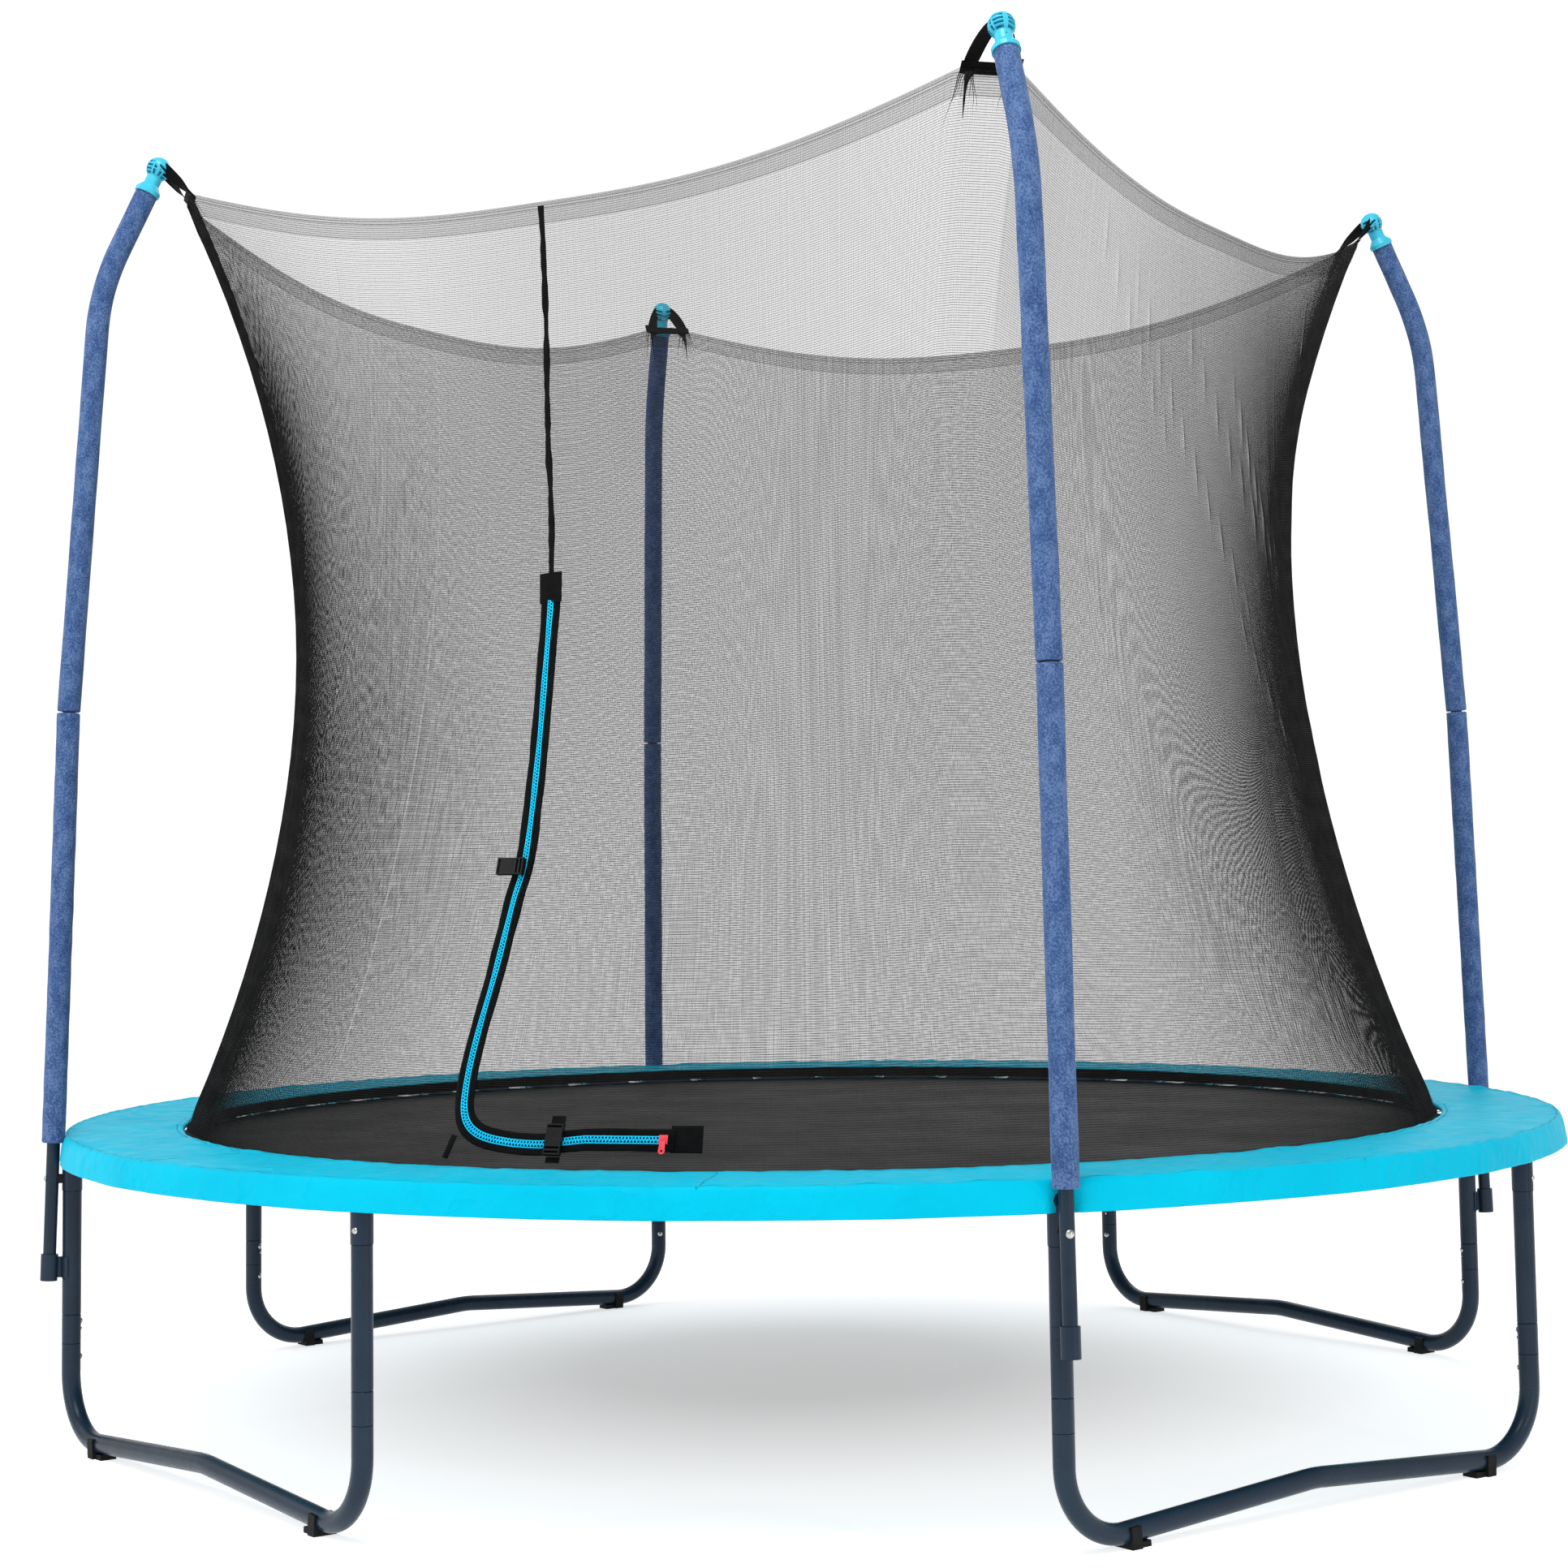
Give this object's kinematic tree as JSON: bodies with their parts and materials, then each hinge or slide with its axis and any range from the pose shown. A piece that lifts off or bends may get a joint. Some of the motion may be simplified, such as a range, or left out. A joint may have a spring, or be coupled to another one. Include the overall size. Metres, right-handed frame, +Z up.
{
  "type": "garden trampoline",
  "caption": "Round sprung trampoline on W-shaped tube legs with a padded rim and a zipped safety net hung from bent padded poles.",
  "frame": {"origin": "on the ground under the centre of the ring, the bottom centre of the overall box", "axes": "+Z up, the doorway faces -Y, the four poles stand at 45 degrees between the axes"},
  "size_m": [3.0196, 3.0196, 2.5148],
  "materials": {
    "steel_tube": "dark blue-grey powder coat, satin",
    "cap_plastic": "bright blue moulded plastic",
    "zinc": "bright zinc plate",
    "rubber": "black moulded rubber",
    "sleeve_foam": "closed-cell foam sleeve, denim blue, mottled",
    "pad_vinyl": "cyan vinyl-coated cloth",
    "pad_foam": "white sheet foam, hidden",
    "mat_weave": "tightly woven black polypropylene",
    "webbing": "black woven tape",
    "net_mesh": "black knitted mesh, half see-through",
    "zip_coil": "cyan zip coil",
    "zip_red": "coral red enamel",
    "buckle_plastic": "black moulded acetal"
  },
  "bodies": {
    "root": {"frame_rail_1": "steel_tube", "frame_rail_2": "steel_tube", "frame_rail_3": "steel_tube", "frame_rail_4": "steel_tube", "frame_rail_5": "steel_tube", "frame_rail_6": "steel_tube", "frame_rail_7": "steel_tube", "frame_rail_8": "steel_tube", "leg_post_1": "steel_tube", "leg_post_2": "steel_tube", "leg_post_3": "steel_tube", "leg_post_4": "steel_tube", "leg_post_5": "steel_tube", "leg_post_6": "steel_tube", "leg_post_7": "steel_tube", "leg_post_8": "steel_tube", "w_base_1": "steel_tube", "w_base_2": "steel_tube", "w_base_3": "steel_tube", "w_base_4": "steel_tube", "pole_lower_1": "steel_tube", "pole_lower_2": "steel_tube", "pole_lower_3": "steel_tube", "pole_lower_4": "steel_tube", "pole_upper_1": "steel_tube", "pole_upper_2": "steel_tube", "pole_upper_3": "steel_tube", "pole_upper_4": "steel_tube", "pole_cap_1": "cap_plastic", "pole_cap_2": "cap_plastic", "pole_cap_3": "cap_plastic", "pole_cap_4": "cap_plastic", "leg_couplers": "steel_tube", "foot_clips": "rubber", "foam_lower": "sleeve_foam", "foam_upper": "sleeve_foam", "pole_brackets": "steel_tube", "pole_spacers": "rubber", "pole_bolts": "zinc", "socket_screws": "zinc", "coupler_screws": "zinc", "springs": "zinc", "pad_cover": "pad_vinyl", "pad_foam": "pad_foam", "net": "net_mesh", "net_straps": "webbing", "door_tape": "webbing", "zip_tape": "webbing", "zip_teeth": "zip_coil", "buckle_upper_male": "buckle_plastic", "buckle_lower_male": "buckle_plastic", "buckle_straps": "webbing"},
    "mat": {"mat": "mat_weave", "mat_binding": "webbing", "v_rings": "zinc"},
    "zip_slider": {"zip_slider": "zip_red"},
    "zip_pull": {"zip_pull": "zip_red"},
    "buckle_upper_socket": {"buckle_upper_female": "buckle_plastic"},
    "buckle_lower_socket": {"buckle_lower_female": "buckle_plastic"}
  },
  "joints": [
    {"name": "mat_bounce", "type": "slide", "parent": "root", "child": "mat", "axis": [0, 0, 1], "range_m": [-0.08, 0], "stiffness_N_per_m": 6000, "springref_m": 0.02, "deforming": ["springs"]},
    {"name": "zip_slide", "type": "slide", "parent": "root", "child": "zip_slider", "axis": [-0.9659, -0.2588, 0], "range_m": [0, 0.14]},
    {"name": "zip_pull_swing", "type": "hinge", "parent": "zip_slider", "child": "zip_pull", "pos_m": [0.39969, -1.19417, 0.65326], "axis": [0.2379, -0.8878, 0.3941], "range_deg": [-70, 70]},
    {"name": "buckle_upper_release", "type": "slide", "parent": "root", "child": "buckle_upper_socket", "axis": [-0.9997, -0.0262, 0], "range_m": [0, 0.024]},
    {"name": "buckle_lower_release", "type": "slide", "parent": "root", "child": "buckle_lower_socket", "axis": [-0.068, 0.3976, 0.915], "range_m": [0, 0.024]}
  ]
}
